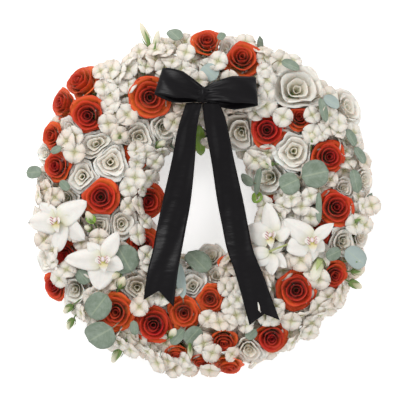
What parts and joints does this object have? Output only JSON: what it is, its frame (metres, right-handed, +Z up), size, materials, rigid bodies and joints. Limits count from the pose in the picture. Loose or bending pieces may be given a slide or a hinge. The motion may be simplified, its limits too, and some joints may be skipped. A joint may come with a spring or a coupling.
{
  "type": "funeral_wreath",
  "caption": "Round funeral wreath of red and orange roses, white lisianthus, hydrangea and orchids with eucalyptus leaves, on a foam ring in a tray, with a black satin bow.",
  "frame": {"origin": "centre of the wreath on the surface it rests on, under the middle of its bounding box", "axes": "+Z up out of the flowers, +Y toward the bow, +X to the right of one who looks down on the wreath with the bow at the top"},
  "size_m": [0.5822, 0.5884, 0.1486],
  "materials": {
    "rose_red": "velvety red petals, darker toward the heart",
    "rose_orange": "velvety orange petals, yellower at the base",
    "lisianthus_white": "thin matte cream petals, greenish at the heart",
    "hydrangea_white": "thin matte white florets",
    "orchid_white": "smooth waxy white tepals",
    "eucalyptus_leaf": "matte grey-green leaves with a powdery bloom",
    "ribbon_satin": "black satin",
    "tray_plastic": "black moulded tray",
    "floral_foam": "wet green floral foam"
  },
  "bodies": {
    "root": {"rose_01": "rose_orange", "rose_02": "rose_red", "rose_03": "rose_orange", "rose_04": "rose_red", "rose_05": "rose_red", "rose_06": "rose_orange", "rose_07": "rose_orange", "rose_08": "rose_red", "rose_09": "rose_orange", "rose_10": "rose_orange", "rose_11": "rose_red", "rose_12": "rose_orange", "rose_13": "rose_red", "rose_14": "rose_red", "rose_15": "rose_orange", "rose_16": "rose_red", "rose_17": "rose_orange", "rose_18": "rose_red", "rose_19": "rose_red", "rose_20": "rose_orange", "rose_21": "rose_orange", "rose_22": "rose_orange", "rose_23": "rose_red", "rose_24": "rose_orange", "rose_25": "rose_orange", "rose_26": "rose_orange", "rose_27": "rose_red", "rose_28": "rose_red", "rose_29": "rose_red", "rose_30": "rose_red", "lisianthus_01": "lisianthus_white", "lisianthus_02": "lisianthus_white", "lisianthus_03": "lisianthus_white", "lisianthus_04": "lisianthus_white", "lisianthus_05": "lisianthus_white", "lisianthus_06": "lisianthus_white", "lisianthus_07": "lisianthus_white", "lisianthus_08": "lisianthus_white", "eucalyptus_01": "eucalyptus_leaf", "eucalyptus_02": "eucalyptus_leaf", "eucalyptus_03": "eucalyptus_leaf", "eucalyptus_04": "eucalyptus_leaf", "eucalyptus_05": "eucalyptus_leaf", "eucalyptus_06": "eucalyptus_leaf", "orchid_left": "orchid_white", "orchid_right": "orchid_white", "hydrangea_01": "hydrangea_white", "hydrangea_02": "hydrangea_white", "hydrangea_03": "hydrangea_white", "hydrangea_04": "hydrangea_white", "hydrangea_05": "hydrangea_white", "hydrangea_06": "hydrangea_white", "hydrangea_07": "hydrangea_white", "hydrangea_08": "hydrangea_white", "hydrangea_09": "hydrangea_white", "ribbon_bow": "ribbon_satin", "ribbon_tail_left": "ribbon_satin", "ribbon_tail_right": "ribbon_satin", "tray_ring": "tray_plastic", "foam_ring": "floral_foam"}
  },
  "joints": []
}
